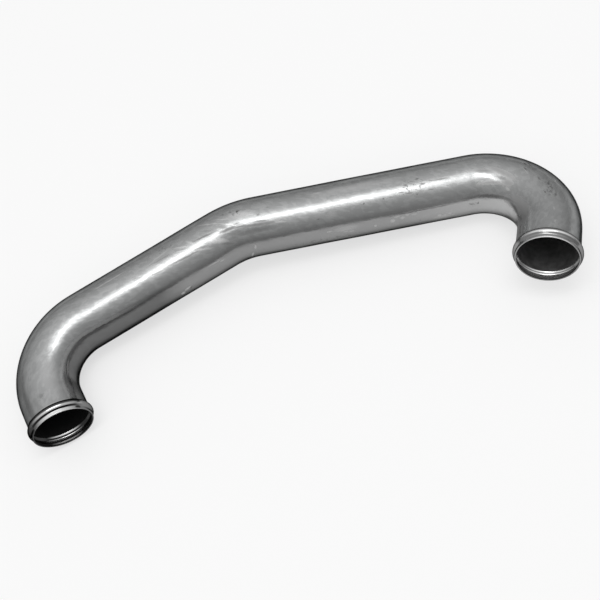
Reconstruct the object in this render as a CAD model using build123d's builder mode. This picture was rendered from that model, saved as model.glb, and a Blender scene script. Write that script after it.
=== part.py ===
from build123d import *

import math
import os

os.makedirs("parts", exist_ok=True)

# Manifold pipe: one thin-walled round steel tube, bent three times, with each end rolled for a hose.
# Lengths are in millimetres and angles in degrees.
# It lies on a floor at Z = 0 as it comes to rest: its first long run points towards +X, and both
# of its mouths open towards -Y.

# Tube stock
tube_diameter = 76.2
wall = 1.65

# Bend table, in the order in which the tube is bent. A straight run is measured between the ends
# of the bends beside it, and a twist turns the tube about itself before its next bend.
first_leg = 41.0
first_bend = 90.0
first_bend_radius = 78.0
first_run = 203.0
first_twist = 20.0
middle_bend = 20.5
middle_bend_radius = 130.0
second_run = 276.5
second_twist = -31.0
last_bend = 110.0
last_bend_radius = 78.0
last_leg = 47.5

# Rolled end: a plain lip at the rim, with a round bead behind it and a groove inside the bead.
# A crest radius is at the top of the bead or the groove, and a foot radius is where it runs into
# the plain tube. The groove has radii of its own, because rolling thins the wall on its flanks.
bead_from_rim = 9.0
bead_width = 11.6
bead_height = 3.0
bead_crest_radius = 5.3
bead_foot_radius = 1.8
groove_crest_radius = 4.2
groove_foot_radius = 3.0
rim_chamfer = 0.4

# How the bent tube settles on a flat floor, resting on the undersides of its two tight bends
first_leg_dip = 4.3
first_run_rise = 3.1

tube_radius = tube_diameter / 2
rolled_end_length = bead_from_rim + bead_width / 2


def corner_reach(radius, angle):
    """Distance from the end of a bend to the corner where its two straights would meet."""
    return radius * math.tan(math.radians(angle / 2))


def centreline_corners(heading, bend_axis):
    """The two rims and the three corners of the centreline, stepped out from the bend table."""
    corner = Vector(0, 0, 0)
    corners = [corner]
    last_reach = 0.0
    for straight, twist, angle, radius in (
        (first_leg, 0.0, first_bend, first_bend_radius),
        (first_run, first_twist, middle_bend, middle_bend_radius),
        (second_run, second_twist, last_bend, last_bend_radius),
    ):
        reach = corner_reach(radius, angle)
        corner = corner + heading * (last_reach + straight + reach)
        corners.append(corner)
        bend_axis = bend_axis.rotate(Axis((0, 0, 0), heading), twist)
        heading = heading.rotate(Axis((0, 0, 0), bend_axis), angle)
        last_reach = reach
    corners.append(corner + heading * (last_reach + last_leg))
    return corners


def blend_handle(radius):
    """Length of the handle that gives a bead's curve this radius where the handle starts."""
    return math.sqrt(radius * bead_height * 2 / 3)


def wall_line(radius, crest_radius, foot_radius):
    """One side of a rolled end's wall, drawn as a radius over the depth from the rim."""
    front_foot = Vector(radius, bead_from_rim - bead_width / 2)
    crest = Vector(radius + bead_height, bead_from_rim)
    back_foot = Vector(radius, rolled_end_length)
    foot_handle = Vector(0, blend_handle(foot_radius))
    crest_handle = Vector(0, blend_handle(crest_radius))
    lip = Line((radius, 0), front_foot)
    Bezier(front_foot, front_foot + foot_handle, crest - crest_handle, crest)
    back = Bezier(crest, crest + crest_handle, back_foot - foot_handle, back_foot)
    return lip @ 0, back @ 1


# Planes of the first bend and of the two rims. Each rim's plane faces into the tube.
first_bend_plane = Plane.XY.rotated((-first_leg_dip, -first_run_rise, 0))
corners = centreline_corners(first_bend_plane.y_dir, -first_bend_plane.z_dir)
first_rim = Plane(origin=corners[0], z_dir=corners[1] - corners[0])
last_rim = Plane(origin=corners[-1], z_dir=corners[-2] - corners[-1])

# Rolled end, drawn once about Z with its rim at Z = 0. The wall keeps nearly its whole thickness
# over the bead, so the bead is a hump outside and a groove inside.
with BuildPart() as rolled_end:
    with BuildSketch(Plane.XZ) as wall_section:
        with BuildLine():
            outer_rim, outer_foot = wall_line(tube_radius, bead_crest_radius, bead_foot_radius)
            inner_rim, inner_foot = wall_line(
                tube_radius - wall, groove_crest_radius, groove_foot_radius
            )
            Line(outer_rim, inner_rim)
            Line(outer_foot, inner_foot)
        make_face()
        chamfer(wall_section.vertices().group_by(Axis.Y)[0], rim_chamfer)
    revolve(axis=Axis.Z)

# Bent tube between the two rolled ends, along straights and tangent arcs
first_joint = first_rim.offset(rolled_end_length)
last_joint = last_rim.offset(rolled_end_length)

with BuildPart() as bent_pipe:
    with BuildLine() as centreline:
        FilletPolyline(
            first_joint.origin,
            *corners[1:-1],
            last_joint.origin,
            radius=[first_bend_radius, middle_bend_radius, last_bend_radius],
        )
    with BuildSketch(first_joint):
        Circle(tube_radius)
        Circle(tube_radius - wall, mode=Mode.SUBTRACT)
    sweep(path=centreline.line)
    with Locations(first_rim, last_rim):
        add(rolled_end.part)

# The finished pipe, moved so that the middle of its footprint is at the origin, on the floor
footprint = bent_pipe.part.bounding_box()
to_floor = Location((-footprint.center().X, -footprint.center().Y, -footprint.min.Z))

with BuildPart() as manifold_pipe:
    add(bent_pipe.part.moved(to_floor))

manifold_pipe.part.label = "manifold_pipe"
export_step(manifold_pipe.part, "parts/manifold_pipe.step")
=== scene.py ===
import math

import bpy
from mathutils import Matrix, Vector, noise


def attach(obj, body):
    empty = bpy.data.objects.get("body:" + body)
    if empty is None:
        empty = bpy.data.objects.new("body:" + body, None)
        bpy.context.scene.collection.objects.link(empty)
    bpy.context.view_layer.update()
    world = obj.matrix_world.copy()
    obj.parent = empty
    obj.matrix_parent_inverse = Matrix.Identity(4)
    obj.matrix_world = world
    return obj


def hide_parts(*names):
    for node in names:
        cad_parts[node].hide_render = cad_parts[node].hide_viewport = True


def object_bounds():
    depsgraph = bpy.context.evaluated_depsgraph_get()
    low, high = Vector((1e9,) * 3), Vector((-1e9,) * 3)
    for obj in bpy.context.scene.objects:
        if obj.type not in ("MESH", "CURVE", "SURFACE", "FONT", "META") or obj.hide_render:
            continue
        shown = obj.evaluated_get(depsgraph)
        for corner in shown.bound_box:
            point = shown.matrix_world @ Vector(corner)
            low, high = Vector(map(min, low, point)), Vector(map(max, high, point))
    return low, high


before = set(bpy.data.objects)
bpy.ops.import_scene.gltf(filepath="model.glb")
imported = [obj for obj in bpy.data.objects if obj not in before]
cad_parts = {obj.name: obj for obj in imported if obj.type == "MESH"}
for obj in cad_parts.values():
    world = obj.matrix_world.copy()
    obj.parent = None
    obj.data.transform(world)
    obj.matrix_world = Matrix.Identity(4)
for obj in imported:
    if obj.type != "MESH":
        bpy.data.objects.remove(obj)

cad_low, cad_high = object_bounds()

# Manifold pipe: a bare steel tube, bent three times, with a bead rolled into each end.
# Lengths are in millimetres and angles in degrees. Only what Blender is given is in metres.
METRE = 1000.0

# Tube stock
TUBE_RADIUS = 38.1
WALL = 1.65

# Bend table, in the order in which the tube is bent. A straight run is measured between the ends
# of the bends beside it, and a twist turns the tube about itself before its next bend.
FIRST_LEG = 41.0
FIRST_BEND = 90.0
FIRST_BEND_RADIUS = 78.0
FIRST_RUN = 203.0
FIRST_TWIST = 20.0
MIDDLE_BEND = 20.5
MIDDLE_BEND_RADIUS = 130.0
SECOND_RUN = 276.5
SECOND_TWIST = -31.0
LAST_BEND = 110.0
LAST_BEND_RADIUS = 78.0
LAST_LEG = 47.5

# How the bent tube settles on a flat floor
FIRST_LEG_DIP = 4.3
FIRST_RUN_RISE = 3.1

# Rolled end, measured back from the rim
BEAD_FROM_RIM = 9.0
BEAD_WIDTH = 11.6
BEAD_HEIGHT = 3.0
BEAD_CREST_RADIUS = 5.3
BEAD_FOOT_RADIUS = 1.8
GROOVE_CREST_RADIUS = 4.2
GROOVE_FOOT_RADIUS = 3.0
RIM_ROUNDING = 0.45
ROLLED_END = BEAD_FROM_RIM + BEAD_WIDTH / 2

# Fineness of the mesh
POINTS_ROUND = 160
STRAIGHT_STEP = 5.0
BEND_STEP = 2.6
BORE_STRAIGHT_STEP = 16.0
BORE_BEND_STEP = 5.0
BEAD_STEPS = 12
RIM_STEPS = 4

# Flat map that the finish is baked to: where the bore's band starts, and the width and margin that
# the skin's band and the bore's band have
BAKED_BORE_START = 0.5
BAKED_BAND_WIDTH = 0.49
BAKED_BAND_MARGIN = 0.005

# Camera, at the photograph's viewing angle
CAMERA_AIM = (6.5, -5.2, 43.2)
CAMERA_DISTANCE = 1185.6
CAMERA_AZIMUTH = -12.67
CAMERA_ELEVATION = 63.23
CAMERA_ROLL = -18.22
CAMERA_FIELD_OF_VIEW = 34.69

# Floor of matt white paper, and how much of it looks white even in a shadow
FLOOR_RADIUS = 5000.0
FLOOR_CORNERS = 96
FLOOR_WHITENESS = 0.6
PAPER_WHITE = "#F5F5F5"
FULL_WHITE = "#FFFFFF"

# Long softbox straight above the pipe, and the wider, weaker halo of light round it
SOFTBOX_MIDDLE = (-15.0, -60.0, 2300.0)
SOFTBOX_SIZE = (1350.0, 410.0)
SOFTBOX_LIGHT = 3.5
HALO_SIZE = (2000.0, 1200.0)
HALO_LIGHT = 1.0

# Room round it: how bright it is at the horizon, how much it gains up to straight overhead, what
# the glow overhead adds and how narrow it is, and how much brighter it is behind the pipe
ROOM_AT_HORIZON = 0.38
ROOM_RISE = 0.45
ROOM_GLOW = 0.45
ROOM_GLOW_POWER = 8.0
ROOM_BACK_SHARE = 0.2


def linear_colour(hex_colour):
    """A colour written as sRGB hex, as the linear RGBA that a shader takes."""
    channels = [int(hex_colour[i:i + 2], 16) / 255 for i in (1, 3, 5)]
    linear = [c / 12.92 if c <= 0.04045 else ((c + 0.055) / 1.055) ** 2.4 for c in channels]
    return (*linear, 1.0)


def add_node(tree, kind, inputs=None, **settings):
    """Adds one node with its settings. Each input is a value, or the node or output feeding it."""
    made = tree.nodes.new(kind)
    for name, value in settings.items():
        setattr(made, name, value)
    for name, value in (inputs or {}).items():
        if isinstance(value, bpy.types.Node):
            value = next(output for output in value.outputs if output.enabled)
        if isinstance(value, bpy.types.NodeSocket):
            tree.links.new(value, made.inputs[name])
        else:
            made.inputs[name].default_value = value
    return made


# Bent centreline


def turned(vector, axis, angle):
    """The vector, turned about an axis by an angle in degrees."""
    return Matrix.Rotation(math.radians(angle), 3, axis) @ vector


def bent_stretches():
    """The centreline's straights and bends: length, start, heading, bend axis and bend radius."""
    dip = Matrix.Rotation(-math.radians(FIRST_LEG_DIP), 3, "X")
    settled = dip @ Matrix.Rotation(-math.radians(FIRST_RUN_RISE), 3, "Y")
    start = Vector((0, 0, 0))
    heading = settled @ Vector((0, 1, 0))
    bend_axis = settled @ Vector((0, 0, -1))
    stretches = []
    for straight, twist, angle, radius in (
        (FIRST_LEG, 0.0, FIRST_BEND, FIRST_BEND_RADIUS),
        (FIRST_RUN, FIRST_TWIST, MIDDLE_BEND, MIDDLE_BEND_RADIUS),
        (SECOND_RUN, SECOND_TWIST, LAST_BEND, LAST_BEND_RADIUS),
    ):
        stretches.append((straight, start, heading, None, None))
        start = start + heading * straight
        bend_axis = turned(bend_axis, heading, twist)
        stretches.append((radius * math.radians(angle), start, heading, bend_axis, radius))
        centre = start + bend_axis.cross(heading) * radius
        start = centre + turned(start - centre, bend_axis, angle)
        heading = turned(heading, bend_axis, angle)
    stretches.append((LAST_LEG, start, heading, None, None))
    return stretches


STRETCHES = bent_stretches()
TUBE_LENGTH = sum(stretch[0] for stretch in STRETCHES)


def on_centreline(along):
    """The centreline's point and heading at this distance from the first rim."""
    for length, start, heading, bend_axis, radius in STRETCHES:
        if along <= length:
            break
        along -= length
    else:
        along += length
    if bend_axis is None:
        return start + heading * along, heading
    centre = start + bend_axis.cross(heading) * radius
    angle = math.degrees(along / radius)
    return centre + turned(start - centre, bend_axis, angle), turned(heading, bend_axis, angle)


# Section of the wall: points as distance along the tube and distance from the centreline


def bezier_point(share, points):
    """The point at this share of a cubic curve, from the curve's four control points."""
    rest = 1 - share
    weights = (rest ** 3, 3 * rest ** 2 * share, 3 * rest * share ** 2, share ** 3)
    return Vector([sum(w * p[axis] for w, p in zip(weights, points)) for axis in (0, 1)])


def rolled_end_line(radius, crest_radius, foot_radius):
    """One side of a rolled end's wall, from the lip back over the bead."""
    foot_handle = Vector((math.sqrt(foot_radius * BEAD_HEIGHT * 2 / 3), 0))
    crest_handle = Vector((math.sqrt(crest_radius * BEAD_HEIGHT * 2 / 3), 0))
    front_foot = Vector((BEAD_FROM_RIM - BEAD_WIDTH / 2, radius))
    crest = Vector((BEAD_FROM_RIM, radius + BEAD_HEIGHT))
    back_foot = Vector((ROLLED_END, radius))
    lip = Vector((RIM_ROUNDING, radius))
    line = [lip, lip.lerp(front_foot, 0.5), front_foot]
    for curve in (
        (front_foot, front_foot + foot_handle, crest - crest_handle, crest),
        (crest, crest + crest_handle, back_foot - foot_handle, back_foot),
    ):
        line += [bezier_point(step / BEAD_STEPS, curve) for step in range(1, BEAD_STEPS + 1)]
    return line


def body_line(radius, straight_step, bend_step):
    """The plain wall between the two rolled ends."""
    line = []
    passed = 0.0
    for length, start, heading, bend_axis, bend_radius in STRETCHES:
        steps = math.ceil(length / (straight_step if bend_axis is None else bend_step))
        line += [Vector((passed + length * step / steps, radius)) for step in range(steps)]
        passed += length
    margin = ROLLED_END + bend_step / 2
    return [point for point in line if margin < point.x < TUBE_LENGTH - margin]


def at_other_end(line):
    """The same line at the tube's other end, still in order from the first rim."""
    return [Vector((TUBE_LENGTH - point.x, point.y)) for point in reversed(line)]


def wall_line(radius, crest_radius, foot_radius, straight_step, bend_step):
    """One side of the wall, from the first lip to the last."""
    end = rolled_end_line(radius, crest_radius, foot_radius)
    return end + body_line(radius, straight_step, bend_step) + at_other_end(end)


def rim_line():
    """The first rim, from the middle of the wall's edge round to the outside of the lip."""
    corner = Vector((RIM_ROUNDING, TUBE_RADIUS - RIM_ROUNDING))
    line = [Vector((0, TUBE_RADIUS - WALL / 2))]
    for step in range(RIM_STEPS):
        angle = math.radians(90 * step / RIM_STEPS)
        line.append(corner + RIM_ROUNDING * Vector((-math.cos(angle), math.sin(angle))))
    return line


def section_loop():
    """The whole section, out over the skin and back down the bore, and the skin's share of it."""
    rim = rim_line()
    skin = wall_line(TUBE_RADIUS, BEAD_CREST_RADIUS, BEAD_FOOT_RADIUS, STRAIGHT_STEP, BEND_STEP)
    skin = rim + skin + at_other_end(rim)
    bore = wall_line(
        TUBE_RADIUS - WALL,
        GROOVE_CREST_RADIUS,
        GROOVE_FOOT_RADIUS,
        BORE_STRAIGHT_STEP,
        BORE_BEND_STEP,
    )
    middle = TUBE_RADIUS - WALL / 2
    bore_rim = [Vector((point.x, 2 * middle - point.y)) for point in reversed(rim[1:])]
    return skin + at_other_end(bore_rim) + bore[::-1] + bore_rim, len(skin)


# A bent tube isn't quite true: its skin waves by up to a fifth of a millimetre, and a long
# reflection wanders with it. The waves fade out before the rolled ends, and the shift keeps one
# wave's pattern clear of the other's.
WAVES = (
    # length along the tube, length round it, height
    (70.0, 22.0, 0.18),
    (34.0, 14.0, 0.04),
)
WAVE_FADE = 40.0
WAVE_SHIFT = 17.3


def wave(straight):
    """How far the skin stands proud at this point of the straight tube."""
    fade = min(1.0, (min(straight.x, TUBE_LENGTH - straight.x) - ROLLED_END) / WAVE_FADE)
    height = 0.0
    for index, (length, width, size) in enumerate(WAVES):
        along = straight.x / length + WAVE_SHIFT * index
        spot = Vector((along, straight.y / width, straight.z / width))
        height += size * noise.noise(spot)
    return height * max(0.0, fade)


def ring(section_point, is_skin):
    """One ring of points round the tube, and where each of them lay while the tube was straight."""
    centre, heading = on_centreline(section_point.x)
    up = (Vector((0, 0, 1)) - heading * heading.z).normalized()
    side = heading.cross(up)
    points = []
    straights = []
    for step in range(POINTS_ROUND):
        angle = 2 * math.pi * step / POINTS_ROUND - math.pi
        away = Vector((math.cos(angle), math.sin(angle))) * section_point.y
        straight = Vector((section_point.x, away.x, away.y))
        stretch = 1 + (wave(straight) / section_point.y if is_skin else 0.0)
        points.append(centre + (up * away.x + side * away.y) * stretch)
        straights.append(straight)
    return points, straights


def add_bake_map(mesh, section, skin_rings):
    """A flat map of the tube: the skin in its lower half and the bore in its upper half."""
    gaps = [(b - a).length for a, b in zip(section, section[1:] + section[:1])]
    skin_length = sum(gaps[:skin_rings - 1])
    bore_length = sum(gaps[skin_rings - 1:])
    bake_map = mesh.uv_layers.new(name="OFBake")
    corner = 0
    reached = 0.0
    for index, gap in enumerate(gaps):
        is_skin = index < skin_rings - 1
        if index == skin_rings - 1:
            reached = 0.0
        full = skin_length if is_skin else bore_length
        low = 0.0 if is_skin else BAKED_BORE_START
        near = reached / full
        far = (reached + gap) / full
        for step in range(POINTS_ROUND):
            start = low + BAKED_BAND_WIDTH * step / POINTS_ROUND + BAKED_BAND_MARGIN
            end = low + BAKED_BAND_WIDTH * (step + 1) / POINTS_ROUND + BAKED_BAND_MARGIN
            for place in ((near, start), (near, end), (far, end), (far, start)):
                bake_map.data[corner].uv = place
                corner += 1
        reached += gap


def depth_from_rim(section_point):
    """Distance of a point of the section from the nearer rim."""
    return min(section_point.x, TUBE_LENGTH - section_point.x)


def manifold_tube(skin_material, groove_material, bore_material):
    """The tube as one closed mesh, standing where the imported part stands."""
    section, skin_rings = section_loop()
    points = []
    straights = []
    for index, section_point in enumerate(section):
        ring_points, ring_straights = ring(section_point, index < skin_rings)
        points += ring_points
        straights += ring_straights
    low = Vector([min(point[axis] for point in points) for axis in range(3)])
    high = Vector([max(point[axis] for point in points) for axis in range(3)])
    cad_middle = (Vector(cad_low) + Vector(cad_high)) / 2 * METRE
    shift = cad_middle - (low + high) / 2
    shift.z = cad_low[2] * METRE - low.z
    faces = []
    face_materials = []
    rings = len(section)
    for index in range(rings):
        after_index = (index + 1) % rings
        near = index * POINTS_ROUND
        far = after_index * POINTS_ROUND
        for step in range(POINTS_ROUND):
            after = (step + 1) % POINTS_ROUND
            faces.append((near + step, near + after, far + after, far + step))
        depth = max(depth_from_rim(section[index]), depth_from_rim(section[after_index]))
        inner_material = 1 if depth < ROLLED_END + RIM_ROUNDING else 2
        face_materials += [0 if index < skin_rings else inner_material] * POINTS_ROUND
    mesh = bpy.data.meshes.new("bent_tube")
    mesh.from_pydata([(point + shift) / METRE for point in points], [], faces)
    straight_places = mesh.attributes.new("straight", "FLOAT_VECTOR", "POINT")
    straight_places.data.foreach_set("vector", [value for place in straights for value in place])
    add_bake_map(mesh, section, skin_rings)
    for material in (skin_material, groove_material, bore_material):
        mesh.materials.append(material)
    mesh.polygons.foreach_set("material_index", face_materials)
    mesh.polygons.foreach_set("use_smooth", [True] * len(faces))
    piece = bpy.data.objects.new("bent_tube", mesh)
    bpy.context.scene.collection.objects.link(piece)
    return piece


# Materials

# Bare steel's tones and roughness, where it is clean, stained or streaked. A thin stain tints it
# nearly everywhere, and where a flake of that has worn off the steel keeps its tone.
CLEAN_STEEL = "#B3B4B4"
STAINED_STEEL = "#969797"
STREAKED_STEEL = "#A7A8A8"
STEEL_AT_GRAZING = "#404040"
UNWORN_TINT = "#F4F4F4"
WORN_TINT = "#FFFFFF"
CLEAN_ROUGHNESS = 0.18
STAINED_ROUGHNESS = 0.27

# Patterns of the finish: how long a spot is along the tube, how wide it is round the tube, and how
# finely it breaks up. Stains of damp and handling are about a finger across, and flakes are where
# the stain has worn off. Dents are the shallow hollows that handling leaves. Streaks come from the
# drawing die, and run slantwise round the tube. The real ones are about a tenth of a millimetre
# wide, and real pits are under a millimetre across: both are drawn this coarse to show. Soot lies
# in the bore in spots of under a centimetre.
STAINS = (20.0, 12.0, 5.0)
FLAKES = (10.0, 6.0, 4.0)
DENTS = (55.0, 16.0, 1.0)
STREAKS = (13.0, 3.0, 3.0)
STREAK_SLANT = 16.0
PITTING = (3.6, 2.6, 2.0)
SOOT = (8.0, 8.0, 4.0)

# Values of a pattern between which the finish goes over from one look to the other. Streaks are
# where their pattern is low, and the others are where theirs is high.
STAIN_RANGE = (0.35, 0.7)
STREAK_RANGE = (0.35, 0.65)
FLAKE_RANGE = (0.49, 0.55)
PITTING_RANGE = (0.54, 0.66)

# Relief of the skin. Flakes are given the depth that makes the edges of a reflection ragged.
DENT_DEPTH = 0.5
FLAKE_DEPTH = 0.2
STREAK_DEPTH = 0.02

# Dull film on the tube's front underside, with the floor's reflection painted into it. It is
# centred on this angle round the tube from its top, is full up to one angle off that, and ends at
# another.
# Where it is full it covers this share of the skin's own tone. Its tones are given over the
# distance
# from the first rim: darkest under the first bend and the first run, where the film lies with
# painted shade, and painted lighter than the bare steel towards the last bend, as a painted
# reflection of the bright floor.
UNDERSIDE_MIDDLE = 105.0
UNDERSIDE_FULL = 45.5
UNDERSIDE_NONE = 60.0
UNDERSIDE_COVER = 0.85
UNDERSIDE_FILM_AND_REFLECTION_TONES = (
    (0.0, "#7C7C7C"),
    (50.0, "#7C7C7C"),
    (80.0, "#5C5C5C"),
    (262.0, "#5E5E5E"),
    (300.0, "#8A8A8A"),
    (380.0, "#8A8A8A"),
    (500.0, "#909090"),
    (600.0, "#949494"),
    (680.0, "#AAAAAA"),
    (740.0, "#B4B4B4"),
    (775.0, "#BCBCBC"),
    (810.0, "#E0E0E0"),
    (TUBE_LENGTH, "#E8E8E8"),
)

# Rolled ends, as tones over the distance from the rim. The rollers burnished them and grime stays
# in the corners, and the light and dark rings are also painted highlights and painted shade, so
# they lie only on the side that faces the lamp overhead. The rest of an end is evenly dull.
FIRST_BEAD_WEAR_AND_LIGHT_TONES = (
    (0.0, "#E2E2E2"),
    (2.8, "#E6E6E6"),
    (3.6, "#C0C0C0"),
    (4.1, "#040404"),
    (5.6, "#040404"),
    (6.0, "#D8D8D8"),
    (7.6, "#D4D4D4"),
    (8.6, "#6C6C6C"),
    (9.8, "#4A4A4A"),
    (11.4, "#5C5C5C"),
    (13.0, "#8C8C8C"),
    (14.4, "#BCBCBC"),
    (16.0, "#A4A4A4"),
)
LAST_BEAD_WEAR_AND_LIGHT_TONES = (
    (0.0, "#E8E8E8"),
    (1.0, "#A8A8A8"),
    (3.0, "#909090"),
    (4.2, "#989898"),
    (5.6, "#808080"),
    (6.3, "#8C8C8C"),
    (6.9, "#E4E4E4"),
    (8.2, "#ECECEC"),
    (9.2, "#909090"),
    (13.0, "#9C9C9C"),
    (16.0, "#A4A4A4"),
)
FIRST_GROOVE_WEAR_AND_LIGHT_TONES = (
    (0.0, "#585858"),
    (1.2, "#484848"),
    (2.2, "#FFFFFF"),
    (3.8, "#FFFFFF"),
    (4.5, "#1C1C1C"),
    (7.4, "#202020"),
    (8.3, "#FFFFFF"),
    (10.3, "#FFFFFF"),
    (10.9, "#101010"),
    (12.1, "#101010"),
    (12.7, "#FFFFFF"),
    (13.8, "#FFFFFF"),
    (15.0, "#202020"),
)
LAST_GROOVE_WEAR_AND_LIGHT_TONES = (
    (0.0, "#707070"),
    (1.2, "#585858"),
    (2.4, "#E4E4E4"),
    (7.6, "#B0B0B0"),
    (9.0, "#F4F4F4"),
    (11.0, "#F4F4F4"),
    (12.0, "#6C6C6C"),
    (12.9, "#F8F8F8"),
    (14.4, "#F8F8F8"),
    (15.0, "#808080"),
)

# Angle round the tube that an end's rings of wear, painted highlight and painted shade face, how
# far round from it they reach, and the tones of the rest of the end, behind and in front. The front
# is full up to one angle off its middle, and ends at another.
FIRST_BEAD_RINGS = (9.0, 57.0, "#484848", "#808080")
LAST_BEAD_RINGS = (0.0, 52.0, "#8C8C8C", "#989898")
FIRST_GROOVE_RINGS = (193.0, 40.0, "#404040", "#404040")
LAST_GROOVE_RINGS = (186.0, 60.0, "#949494", "#949494")
FRONT_MIDDLE = 90.0
FRONT_FULL = 45.0
FRONT_NONE = 125.0
RING_ROUGHNESS = 0.13
DULL_END_ROUGHNESS = 0.22
END_FADE = 1.2

# Line inside the first lip that has been rubbed matt: its distance from the rim, and how far from
# its middle it is full and ends
RUBBED_LINE = 3.1
RUBBED_LINE_FULL = 0.8
RUBBED_LINE_NONE = 1.4
RUBBED_LINE_ROUGHNESS = 0.55

# The grime in the groove hides some of its metal.
GROOVE_METALLIC = 0.85

# Bore: dark mill scale, spots of soot in it, and a lighter tone towards the last end, which comes
# in between these shares of the tube's length
MILL_SCALE = "#0A0A0A"
SOOTY_SCALE = "#1C1C1C"
LIGHTER_SCALE = "#747474"
LIGHTENING_START = 0.3
LIGHTENING_FULL = 0.8
SCALE_METALLIC = 0.2
SCALE_ROUGHNESS = 0.6

# Marks on the skin. Each is given by its middle, as distance along the tube and angle round it,
# then by its length, its width, its slant towards the front and how strong it is.

# Patches where fine pits lie close together
PITTED_PATCHES = (
    (614, 14, 50, 26.0, -10, 0.6),
    (690, 71, 22, 7.0, 0, 0.8),
    (760, -30, 30, 14.0, 30, 0.7),
    (803, -10, 46, 22.0, 20, 0.5),
    (800, -36, 30, 12.0, 20, 0.4),
    (392, -8, 34, 16.0, 10, 0.6),
    (300, -14, 60, 12.0, 0, 0.45),
    (500, 90, 120, 8.0, 0, 0.45),
)
# Single pits and small dark spots
PITS = (
    (31, -2, 9, 7, 20, 0.35),
    (397, -8, 4, 2.6, 20, 0.4),
    (421, 10, 6, 3.2, 0, 0.5),
    (552, 28, 3.5, 3, 0, 0.8),
    (577, 26, 3, 2.4, 0, 0.7),
    (607, 9, 8, 4.4, 10, 0.6),
    (623, 0, 6, 3, 0, 0.7),
    (619, 30, 3, 2.6, 0, 0.7),
    (685, 70, 9, 2.6, 8, 0.4),
    (695, 71, 9, 2.4, 4, 0.6),
    (619, 88, 2.5, 6, 20, 0.3),
    (757, -27, 7, 3, 30, 0.7),
    (763, -13, 8, 2.2, 35, 0.6),
    (772, -36, 3, 6, 20, 0.5),
    (786, -9, 9, 3.4, 10, 0.45),
    (799, -13, 6, 5, 0, 0.45),
    (811, 2, 5, 2, 10, 0.7),
    (818, -12, 8, 2.8, 30, 0.5),
    (302, 88, 6, 2.6, -20, 0.6),
    (493, 40, 4, 2.2, 20, 0.5),
)
# Dull streaks, and painted shade: most of them lie beside the long highlight and dim its edges and
# its end, so that the lamp's reflection is painted narrow and tapered
DULL_STREAKS_AND_PAINTED_SHADE = (
    (276, 23, 22, 3.0, 8, 0.5),
    (252, 12, 12, 2.2, 10, 0.4),
    (340, 25, 26, 3.6, 12, 0.6),
    (316, 8, 22, 2.2, 20, 0.6),
    (356, 2, 24, 2.8, 30, 0.5),
    (375, 12, 16, 6.0, 34, 0.6),
    (392, 19, 20, 4.0, 6, 0.5),
    (371, 44, 22, 4.0, 28, 0.6),
    (380, 20.5, 34, 6.0, 4, 1.0),
    (348, 9, 44, 4.0, 6, 0.9),
    (316, 25.5, 60, 3.6, 4, 0.8),
    (290, 4, 50, 3.0, 2, 0.6),
    (418, 28, 74, 6.0, 2, 0.9),
    (390, 16, 18, 2.0, 2, 0.8),
    (396, 24, 34, 4.0, 5, 0.9),
    (422, 23, 26, 3.2, 3, 0.8),
    (434, 28, 14, 2.0, 2, 0.7),
    (410, -1, 10, 1.8, 2, 0.6),
    (434, -2, 9, 1.8, 2, 0.6),
    (610, 25, 12, 2.6, 4, 0.9),
    (600, 21, 9, 2.4, 8, 0.7),
    (637, 26, 10, 2.6, 4, 0.8),
    (628, 12, 9, 2.6, 6, 0.8),
    (639, 9, 8, 2.4, 6, 0.7),
    (585, 26, 10, 2.0, 6, 0.7),
    (665, 24, 14, 1.8, 4, 0.5),
    (650, 10, 30, 3.4, 2, 0.6),
    (710, 8, 44, 8.0, 6, 0.7),
    (712, 24, 44, 6.0, 4, 0.6),
    (741, 20, 26, 5.0, 8, 0.7),
    (704, 6, 50, 5.0, 3, 0.35),
    (738, 9, 60, 9.0, 12, 0.55),
    (724, 30, 60, 6.0, -3, 0.55),
    (752, 26, 26, 12.0, 0, 0.55),
)
# Scratches and spots that have been rubbed bright, and painted light: the broad, faint patches
# brighten the skin's reflections on the first leg, at the middle bend and over the second run
RUBBED_PATCHES_AND_PAINTED_LIGHT = (
    (40, 48, 90, 12.0, 0, 0.7),
    (52, 24, 80, 26.0, 0, 0.35),
    (545, -9, 130, 14.0, 0, 0.35),
    (330, 5, 15, 3.4, 52, 0.4),
    (343, 31, 24, 4.0, 22, 0.45),
    (362, 31, 28, 8.0, 26, 0.7),
    (400, 0, 44, 13.0, 8, 0.55),
    (362, -9, 44, 2.2, 32, 0.5),
    (383, 12, 22, 1.8, 32, 0.8),
    (378, -4, 30, 1.6, 30, 0.5),
    (318, 4, 28, 2.4, 22, 0.4),
    (290, -4, 40, 2.0, -8, 0.35),
    (219, -15.5, 50, 1.8, 0, 0.7),
    (446, 31, 18, 3.6, 8, 0.5),
    (498, -12.5, 16, 3.0, -2, 0.5),
    (550, -12, 6, 2.6, 0, 0.4),
    (510, 37, 16, 11.0, 0, 0.25),
    (758, 37, 15, 4.5, 12, 0.6),
    (765, -9, 18, 1.8, 25, 0.5),
    (795, -33, 14, 2.4, 30, 0.4),
    (840, -2, 8, 3.0, 0, 0.35),
    (861, -5, 7, 4.0, 0, 0.4),
)
# Matt places, and painted light: the patches on the last bend are painted light over the dark
# reflection on its inner side and round the end of the long highlight; the others lie low along the
# front of the first bend and run
MATT_PATCHES_AND_PAINTED_LIGHT = (
    (806, 55, 110, 24.0, 0, 1.0),
    (850, 76, 60, 16.0, 0, 1.0),
    (704, 6, 50, 5.0, 3, 0.7),
    (738, 9, 60, 9.0, 12, 1.0),
    (724, 30, 60, 6.0, -3, 1.0),
    (752, 26, 26, 12.0, 0, 1.0),
    (140, 50.5, 230, 6.0, 1.5, 0.4),
    (36, 53, 60, 10.0, 0, 0.65),
    (62, 56, 74, 7.0, 0, 0.6),
)
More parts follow.
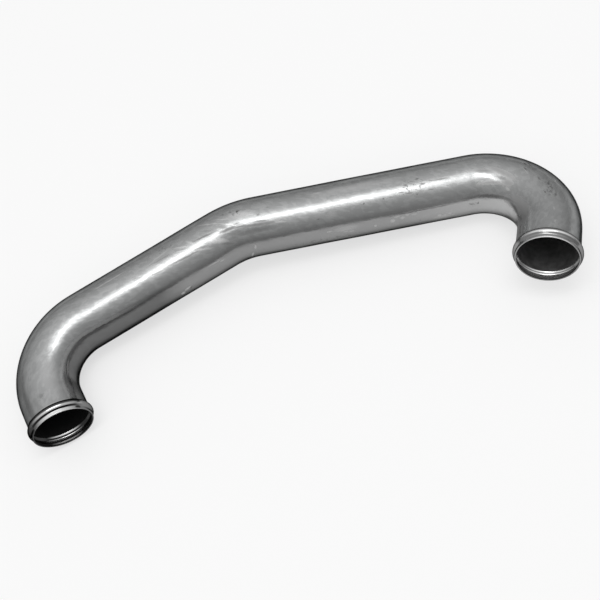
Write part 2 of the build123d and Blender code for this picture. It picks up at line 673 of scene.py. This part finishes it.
# Pale specks and runs that something has left on the underside as it dried
DRIED_SPECKS = (
    (290, 91, 7, 7.0, 0, 0.9),
    (298, 85, 12, 4.0, -18, 0.8),
    (343, 64, 22, 2.4, 2, 0.5),
    (353, 68, 8, 2.4, 10, 0.5),
    (408, 72, 4, 8.0, 12, 0.6),
    (400, 92, 5, 13.0, 25, 0.7),
    (504, 70, 9, 2.4, 0, 0.6),
    (524, 78, 8, 3.0, 0, 0.4),
    (532, 80, 8, 4.0, 0, 0.4),
    (562, 78, 4, 5.0, 0, 0.6),
    (584, 74, 7, 7.0, 0, 0.6),
    (590, 66, 8, 3.0, 0, 0.7),
    (597, 71, 7, 5.0, 10, 0.6),
    (603, 66, 5, 3.0, 0, 0.7),
    (612, 68, 9, 2.6, 0, 0.6),
    (618, 64, 6, 2.0, 0, 0.6),
    (525, 70, 36, 10.0, 0, 0.35),
    (648, 90, 30, 9.0, 0, 0.45),
    (644, 85, 6, 6.0, 0, 0.8),
    (651, 87, 5, 5.0, 10, 0.7),
    (657, 84, 6, 4.0, 10, 0.7),
    (661, 90, 6, 4.0, 10, 0.5),
)
# Painted dark reflections and painted shade: the thin dark line that the horizon makes along the
# lower side, the dark band at the back of the first leg, and dark patches on the first leg's
# underside, below the highlight at the middle bend and over the last bend's underside
PAINTED_DARK_REFLECTIONS = (
    (40, -40, 120, 22.0, 0, 0.45),
    (83, 55, 84, 1.4, -2.2, 1.0),
    (150, 54.5, 60, 1.3, 3, 0.8),
    (186, 55.5, 50, 1.4, 3, 0.9),
    (220, 59, 44, 1.6, 1, 1.0),
    (34, 68, 46, 15.0, 0, 0.4),
    (412, 37, 80, 9.0, 0, 0.35),
    (385, 30, 40, 9.0, 6, 0.35),
    (620, 62, 110, 1.6, 0, 0.6),
    (728, 56, 120, 7.0, 0, 0.6),
    (794, 65, 56, 6.0, 10, 0.45),
)

# Tone and roughness of each kind of mark, in the order in which they lie over each other. Pits
# lie over them all.
MARK_FINISHES = (
    (MATT_PATCHES_AND_PAINTED_LIGHT, "#B8B8B8", 0.5),
    (DULL_STREAKS_AND_PAINTED_SHADE, "#7C7C7C", 0.5),
    (RUBBED_PATCHES_AND_PAINTED_LIGHT, "#CCCCCC", 0.25),
    (DRIED_SPECKS, "#BCBCBC", 0.45),
    (PAINTED_DARK_REFLECTIONS, "#505050", 0.3),
)
PIT_TONE = "#5C5C5C"
PIT_ROUGHNESS = 0.5

# How much stronger than its number a mark is in its middle, which widens its full part, and how
# far and in which pattern its outline strays
MARK_SHARPNESS = 1.1
MARK_STRAYING = 2.4
MARK_OUTLINE = (5.0, 3.0, 2.0)


def new_material(name):
    """An empty material, and its node tree."""
    material = bpy.data.materials.new(name)
    material.use_nodes = True
    material.node_tree.nodes.clear()
    return material, material.node_tree


def straight_tube(tree):
    """Where the shaded point lay while the tube was straight, and its distance along the tube."""
    straight = add_node(tree, "ShaderNodeAttribute", attribute_name="straight").outputs["Vector"]
    return straight, add_node(tree, "ShaderNodeSeparateXYZ", {"Vector": straight}).outputs["X"]


def spots(tree, place, length, width, detail):
    """A noise pattern whose spots have this length along the tube and this width round it."""
    scaled = add_node(
        tree,
        "ShaderNodeVectorMath",
        {0: place, 1: (1 / length, 1 / width, 1 / width)},
        operation="MULTIPLY",
    )
    return add_node(tree, "ShaderNodeTexNoise", {"Vector": scaled, "Scale": 1.0, "Detail": detail})


def toned_along(tree, distance, tones):
    """A colour that passes through these tones as a distance grows."""
    full = tones[-1][0]
    share = add_node(tree, "ShaderNodeMath", {0: distance, 1: full}, operation="DIVIDE")
    ramp = add_node(tree, "ShaderNodeValToRGB", {"Fac": share})
    stops = ramp.color_ramp.elements
    for place, tone in tones[1:-1]:
        stops.new(place / full)
    for stop, (place, tone) in zip(stops, tones):
        stop.color = linear_colour(tone)
    return ramp


def facing(tree, straight, around, full, none):
    """How much the skin faces this angle: full up to one angle off it, and none past another."""
    angle = math.radians(around)
    way = (0.0, math.cos(angle) / TUBE_RADIUS, math.sin(angle) / TUBE_RADIUS)
    reach = add_node(tree, "ShaderNodeVectorMath", {0: straight, 1: way}, operation="DOT_PRODUCT")
    return add_node(
        tree,
        "ShaderNodeMapRange",
        {
            "Value": reach,
            "From Min": math.cos(math.radians(none)),
            "From Max": math.cos(math.radians(full)),
        },
        interpolation_type="SMOOTHSTEP",
    )


def covered(tree, share, finish, cover):
    """A finish, which is a colour and a roughness, with this share of it under another finish."""
    colour = add_node(
        tree, "ShaderNodeMix", {"Factor": share, "A": finish[0], "B": cover[0]}, data_type="RGBA"
    )
    roughness = add_node(tree, "ShaderNodeMix", {"Factor": share, "A": finish[1], "B": cover[1]})
    return colour, roughness


def rolled_end_finish(tree, straight, along, first_end, last_end):
    """Colour and roughness of the two rolled ends: ringed on one side with wear and with painted
    highlights and shade, and dull on the rest.
    """
    to_last = add_node(tree, "ShaderNodeMath", {0: TUBE_LENGTH, 1: along}, operation="SUBTRACT")
    in_front = facing(tree, straight, FRONT_MIDDLE, FRONT_FULL, FRONT_NONE)
    finishes = []
    for distance, (tones, sides) in ((along, first_end), (to_last, last_end)):
        around, reach, back_tone, front_tone = sides
        ringed = facing(tree, straight, around, 0.0, reach)
        dull = add_node(
            tree,
            "ShaderNodeMix",
            {"Factor": in_front, "A": linear_colour(back_tone), "B": linear_colour(front_tone)},
            data_type="RGBA",
        )
        # The rings are wear and grime, and also painted highlights and painted shade on the side
        # facing the lamp
        rings = toned_along(tree, distance, tones)
        finish = covered(tree, ringed, (dull, DULL_END_ROUGHNESS), (rings, RING_ROUGHNESS))
        finishes.append(finish)
    is_last = add_node(
        tree, "ShaderNodeMath", {0: along, 1: TUBE_LENGTH / 2}, operation="GREATER_THAN"
    )
    return covered(tree, is_last, *finishes)


def skin_laid_flat(tree, straight, along):
    """The skin as a sheet: distance along the tube and round it from its top, and a one.

    The two distances stray a little, which makes the marks on the sheet ragged.
    """
    parts = add_node(tree, "ShaderNodeSeparateXYZ", {"Vector": straight})
    angle = add_node(
        tree,
        "ShaderNodeMath",
        {0: parts.outputs["Z"], 1: parts.outputs["Y"]},
        operation="ARCTAN2",
    )
    around = add_node(tree, "ShaderNodeMath", {0: angle, 1: TUBE_RADIUS}, operation="MULTIPLY")
    sheet = add_node(tree, "ShaderNodeCombineXYZ", {"X": along, "Y": around, "Z": 1.0})
    stray = add_node(
        tree,
        "ShaderNodeVectorMath",
        {
            0: spots(tree, straight, *MARK_OUTLINE).outputs["Color"],
            1: (MARK_STRAYING, MARK_STRAYING, 0.0),
            2: sheet,
        },
        operation="MULTIPLY_ADD",
    )
    return add_node(
        tree,
        "ShaderNodeVectorMath",
        {0: stray, 1: (MARK_STRAYING / 2, MARK_STRAYING / 2, 0.0)},
        operation="SUBTRACT",
    )


def marked(tree, sheet, marks):
    """How strongly the skin is marked: full in the middle of a mark, and not at all off them."""
    share = 0.0
    for along, around, length, width, slant, strength in marks:
        middle = Vector((along, math.radians(around) * TUBE_RADIUS))
        lengthwise = Matrix.Rotation(math.radians(slant), 2) @ Vector((2 / length, 0))
        crosswise = Matrix.Rotation(math.radians(slant), 2) @ Vector((0, 2 / width))
        off_middle = 0.0
        for way in (lengthwise, crosswise):
            off = add_node(
                tree,
                "ShaderNodeVectorMath",
                {0: sheet, 1: (way.x, way.y, -way.dot(middle))},
                operation="DOT_PRODUCT",
            )
            off_middle = add_node(
                tree,
                "ShaderNodeMath",
                {0: off, 1: off, 2: off_middle},
                operation="MULTIPLY_ADD",
            )
        peak = strength * MARK_SHARPNESS
        faded = add_node(
            tree,
            "ShaderNodeMath",
            {0: off_middle, 1: -peak, 2: peak},
            operation="MULTIPLY_ADD",
        )
        share = add_node(tree, "ShaderNodeMath", {0: share, 1: faded}, operation="MAXIMUM")
    return add_node(tree, "ShaderNodeMath", {0: share, 1: 1.0}, operation="MINIMUM")


def drawn_mild_steel():
    """Bare mild steel tube, drawn and left uncoated: a soft grey mirror with a stained skin, and
    with painted reflections, highlights and shade on its underside and round its highlight.
    """
    material, tree = new_material("drawn_mild_steel")
    straight, along = straight_tube(tree)
    twist = add_node(
        tree,
        "ShaderNodeMath",
        {0: along, 1: -math.tan(math.radians(STREAK_SLANT)) / TUBE_RADIUS},
        operation="MULTIPLY",
    )
    twisted = add_node(
        tree,
        "ShaderNodeVectorRotate",
        {"Vector": straight, "Angle": twist},
        rotation_type="X_AXIS",
    )
    stains = spots(tree, straight, *STAINS)
    streaks = spots(tree, twisted, *STREAKS)
    flakes = spots(tree, twisted, *FLAKES)
    dents = spots(tree, straight, *DENTS)

    stained = add_node(
        tree,
        "ShaderNodeMix",
        {
            "Factor": stains,
            "A": linear_colour(CLEAN_STEEL),
            "B": linear_colour(STAINED_STEEL),
        },
        data_type="RGBA",
    )
    between_streaks = add_node(
        tree,
        "ShaderNodeMapRange",
        {"Value": streaks, "From Min": STREAK_RANGE[0], "From Max": STREAK_RANGE[1]},
    )
    skin = add_node(
        tree,
        "ShaderNodeMix",
        {
            "Factor": between_streaks,
            "A": linear_colour(STREAKED_STEEL),
            "B": stained,
        },
        data_type="RGBA",
    )
    flake_share = add_node(
        tree,
        "ShaderNodeMapRange",
        {"Value": flakes, "From Min": FLAKE_RANGE[0], "From Max": FLAKE_RANGE[1]},
        interpolation_type="SMOOTHSTEP",
    )
    flaked = add_node(
        tree,
        "ShaderNodeMix",
        {"Factor": flake_share, "A": linear_colour(UNWORN_TINT), "B": linear_colour(WORN_TINT)},
        data_type="RGBA",
    )
    skin = add_node(
        tree,
        "ShaderNodeMix",
        {"Factor": 1.0, "A": skin, "B": flaked},
        data_type="RGBA",
        blend_type="MULTIPLY",
    )
    # Underside: a dull film with a painted reflection of the floor, dark under the first bend and
    # run and lighter than the steel towards the last bend
    underside_film_and_reflection = add_node(
        tree,
        "ShaderNodeMix",
        {"Factor": UNDERSIDE_COVER, "A": skin, "B": toned_along(tree, along, UNDERSIDE_FILM_AND_REFLECTION_TONES)},
        data_type="RGBA",
    )
    underside_share = facing(tree, straight, UNDERSIDE_MIDDLE, UNDERSIDE_FULL, UNDERSIDE_NONE)
    colour = add_node(
        tree, "ShaderNodeMix", {"Factor": underside_share, "A": skin, "B": underside_film_and_reflection}, data_type="RGBA"
    )
    roughness = add_node(
        tree,
        "ShaderNodeMapRange",
        {
            "Value": stains,
            "From Min": STAIN_RANGE[0],
            "From Max": STAIN_RANGE[1],
            "To Min": CLEAN_ROUGHNESS,
            "To Max": STAINED_ROUGHNESS,
        },
    )

    finish = (colour, roughness)
    sheet = skin_laid_flat(tree, straight, along)
    # Some of these marks are painted light and shade: shade that trims the long highlight, dark
    # reflections of the horizon, and light over dark reflections
    for marks, tone, mark_roughness in MARK_FINISHES:
        share = marked(tree, sheet, marks)
        finish = covered(tree, share, finish, (linear_colour(tone), mark_roughness))
    pitting = add_node(
        tree,
        "ShaderNodeMapRange",
        {
            "Value": spots(tree, twisted, *PITTING),
            "From Min": PITTING_RANGE[0],
            "From Max": PITTING_RANGE[1],
        },
        interpolation_type="SMOOTHSTEP",
    )
    pitted = add_node(
        tree,
        "ShaderNodeMath",
        {0: marked(tree, sheet, PITTED_PATCHES), 1: pitting, 2: marked(tree, sheet, PITS)},
        operation="MULTIPLY_ADD",
        use_clamp=True,
    )
    finish = covered(tree, pitted, finish, (linear_colour(PIT_TONE), PIT_ROUGHNESS))

    rolled_end = rolled_end_finish(
        tree,
        straight,
        along,
        (FIRST_BEAD_WEAR_AND_LIGHT_TONES, FIRST_BEAD_RINGS),
        (LAST_BEAD_WEAR_AND_LIGHT_TONES, LAST_BEAD_RINGS),
    )
    to_last = add_node(tree, "ShaderNodeMath", {0: TUBE_LENGTH, 1: along}, operation="SUBTRACT")
    from_rim = add_node(tree, "ShaderNodeMath", {0: along, 1: to_last}, operation="MINIMUM")
    end_share = add_node(
        tree,
        "ShaderNodeMapRange",
        {
            "Value": from_rim,
            "From Min": ROLLED_END,
            "From Max": ROLLED_END + END_FADE,
            "To Min": 1.0,
            "To Max": 0.0,
        },
    )
    colour, roughness = covered(tree, end_share, finish, rolled_end)

    relief = 0.0
    for pattern, depth in ((dents, DENT_DEPTH), (flakes, FLAKE_DEPTH), (streaks, STREAK_DEPTH)):
        relief = add_node(
            tree, "ShaderNodeMath", {0: pattern, 1: depth, 2: relief}, operation="MULTIPLY_ADD"
        )
    lumps = add_node(
        tree, "ShaderNodeBump", {"Height": relief, "Distance": 1 / METRE, "Strength": 1.0}
    )
    steel = add_node(
        tree,
        "ShaderNodeBsdfPrincipled",
        {
            "Base Color": colour,
            "Metallic": 1.0,
            "Roughness": roughness,
            "Specular Tint": linear_colour(STEEL_AT_GRAZING),
            "Normal": lumps,
        },
    )
    add_node(tree, "ShaderNodeOutputMaterial", {"Surface": steel})
    return material


def rolled_groove_steel():
    """Inside of a rolled end: steel that the roller pressed smooth, with grime and with painted
    highlights and painted shade in rings in the groove.
    """
    material, tree = new_material("rolled_groove_steel")
    straight, along = straight_tube(tree)
    colour, roughness = rolled_end_finish(
        tree,
        straight,
        along,
        (FIRST_GROOVE_WEAR_AND_LIGHT_TONES, FIRST_GROOVE_RINGS),
        (LAST_GROOVE_WEAR_AND_LIGHT_TONES, LAST_GROOVE_RINGS),
    )
    off_line = add_node(tree, "ShaderNodeMath", {0: along, 1: RUBBED_LINE}, operation="SUBTRACT")
    off_line = add_node(tree, "ShaderNodeMath", {0: off_line}, operation="ABSOLUTE")
    rubbed = add_node(
        tree,
        "ShaderNodeMapRange",
        {
            "Value": off_line,
            "From Min": RUBBED_LINE_FULL,
            "From Max": RUBBED_LINE_NONE,
            "To Min": 1.0,
            "To Max": 0.0,
        },
    )
    roughness = add_node(
        tree,
        "ShaderNodeMix",
        {"Factor": rubbed, "A": roughness, "B": RUBBED_LINE_ROUGHNESS},
    )
    steel = add_node(
        tree,
        "ShaderNodeBsdfPrincipled",
        {"Base Color": colour, "Metallic": GROOVE_METALLIC, "Roughness": roughness},
    )
    add_node(tree, "ShaderNodeOutputMaterial", {"Surface": steel})
    return material


def scaled_bore_steel():
    """Inside of the tube, still with its thin dark mill scale: dull, and lighter towards the last
    end.
    """
    material, tree = new_material("scaled_bore_steel")
    straight, along = straight_tube(tree)
    lightening = add_node(
        tree,
        "ShaderNodeMapRange",
        {
            "Value": along,
            "From Min": LIGHTENING_START * TUBE_LENGTH,
            "From Max": LIGHTENING_FULL * TUBE_LENGTH,
        },
    )
    scale = add_node(
        tree,
        "ShaderNodeMix",
        {"Factor": lightening, "A": linear_colour(MILL_SCALE), "B": linear_colour(LIGHTER_SCALE)},
        data_type="RGBA",
    )
    colour = add_node(
        tree,
        "ShaderNodeMix",
        {
            "Factor": spots(tree, straight, *SOOT),
            "A": scale,
            "B": linear_colour(SOOTY_SCALE),
        },
        data_type="RGBA",
    )
    steel = add_node(
        tree,
        "ShaderNodeBsdfPrincipled",
        {"Base Color": colour, "Metallic": SCALE_METALLIC, "Roughness": SCALE_ROUGHNESS},
    )
    add_node(tree, "ShaderNodeOutputMaterial", {"Surface": steel})
    return material


def floor_paper():
    """Matt white background paper: white to the camera and in the steel, and still shadowed."""
    material, tree = new_material("floor_paper")
    paper = add_node(
        tree, "ShaderNodeBsdfDiffuse", {"Color": linear_colour(PAPER_WHITE), "Roughness": 1.0}
    )
    white = add_node(
        tree, "ShaderNodeEmission", {"Color": linear_colour(FULL_WHITE), "Strength": 1.0}
    )
    ray = add_node(tree, "ShaderNodeLightPath")
    seen = ray.outputs["Is Camera Ray"]
    for way in ("Is Glossy Ray", "Is Transmission Ray"):
        seen = add_node(
            tree, "ShaderNodeMath", {0: seen, 1: ray.outputs[way]}, operation="MAXIMUM"
        )
    share = add_node(tree, "ShaderNodeMath", {0: seen, 1: FLOOR_WHITENESS}, operation="MULTIPLY")
    surface = add_node(tree, "ShaderNodeMixShader", {0: share, 1: paper, 2: white})
    add_node(tree, "ShaderNodeOutputMaterial", {"Surface": surface})
    return material


# Studio


def studio_floor():
    """A plain round floor, wide enough that its edge is the horizon."""
    corners = []
    for index in range(FLOOR_CORNERS):
        angle = 2 * math.pi * index / FLOOR_CORNERS
        corners.append((math.cos(angle) * FLOOR_RADIUS, math.sin(angle) * FLOOR_RADIUS, 0.0))
    mesh = bpy.data.meshes.new("floor")
    mesh.from_pydata([Vector(corner) / METRE for corner in corners], [], [range(FLOOR_CORNERS)])
    mesh.materials.append(floor_paper())
    floor = bpy.data.objects.new("floor", mesh)
    bpy.context.scene.collection.objects.link(floor)


def studio_room():
    """An even pale room, brighter overhead and a little brighter behind the pipe."""
    world = bpy.data.worlds.new("studio_room")
    world.use_nodes = True
    tree = world.node_tree
    tree.nodes.clear()
    direction = add_node(tree, "ShaderNodeTexCoord").outputs["Generated"]
    parts = add_node(tree, "ShaderNodeSeparateXYZ", {"Vector": direction})
    height = add_node(tree, "ShaderNodeMath", {0: parts.outputs["Z"], 1: 0.0}, operation="MAXIMUM")
    glow = add_node(tree, "ShaderNodeMath", {0: height, 1: ROOM_GLOW_POWER}, operation="POWER")
    rise = add_node(
        tree,
        "ShaderNodeMath",
        {0: height, 1: ROOM_RISE, 2: ROOM_AT_HORIZON},
        operation="MULTIPLY_ADD",
    )
    overhead = add_node(
        tree, "ShaderNodeMath", {0: glow, 1: ROOM_GLOW, 2: rise}, operation="MULTIPLY_ADD"
    )
    tilt = add_node(
        tree,
        "ShaderNodeMath",
        {0: parts.outputs["Y"], 1: ROOM_BACK_SHARE, 2: 1.0},
        operation="MULTIPLY_ADD",
    )
    strength = add_node(tree, "ShaderNodeMath", {0: overhead, 1: tilt}, operation="MULTIPLY")
    room = add_node(
        tree, "ShaderNodeBackground", {"Color": linear_colour(FULL_WHITE), "Strength": strength}
    )
    add_node(tree, "ShaderNodeOutputWorld", {"Surface": room})
    bpy.context.scene.world = world


def softbox(name, size, light):
    """A flat lamp overhead, facing down. Its light is the brightness of its face."""
    lamp = bpy.data.lights.new(name, "AREA")
    lamp.shape = "RECTANGLE"
    lamp.size = size[0] / METRE
    lamp.size_y = size[1] / METRE
    lamp.energy = light * math.pi * lamp.size * lamp.size_y
    holder = bpy.data.objects.new(name, lamp)
    holder.location = Vector(SOFTBOX_MIDDLE) / METRE
    bpy.context.scene.collection.objects.link(holder)


def photo_camera():
    """The camera, at the photograph's viewing angle."""
    azimuth = math.radians(CAMERA_AZIMUTH)
    elevation = math.radians(CAMERA_ELEVATION)
    back = Vector((
        math.sin(azimuth) * math.cos(elevation),
        -math.cos(azimuth) * math.cos(elevation),
        math.sin(elevation),
    ))
    level_right = Vector((0, 0, 1)).cross(back).normalized()
    right = turned(level_right, back, CAMERA_ROLL)
    up = back.cross(right)
    lens = bpy.data.cameras.new("photo_camera")
    lens.angle = math.radians(CAMERA_FIELD_OF_VIEW)
    camera = bpy.data.objects.new("photo_camera", lens)
    turn = Matrix((right, up, back)).transposed().to_4x4()
    place = (Vector(CAMERA_AIM) + back * CAMERA_DISTANCE) / METRE
    camera.matrix_world = Matrix.Translation(place) @ turn
    bpy.context.scene.collection.objects.link(camera)
    bpy.context.scene.camera = camera


tube = manifold_tube(drawn_mild_steel(), rolled_groove_steel(), scaled_bore_steel())
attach(tube, "root")
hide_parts("manifold_pipe")

studio_floor()
studio_room()
softbox("softbox", SOFTBOX_SIZE, SOFTBOX_LIGHT)
softbox("softbox_halo", HALO_SIZE, HALO_LIGHT)
photo_camera()
bpy.context.scene.view_settings.view_transform = "Standard"
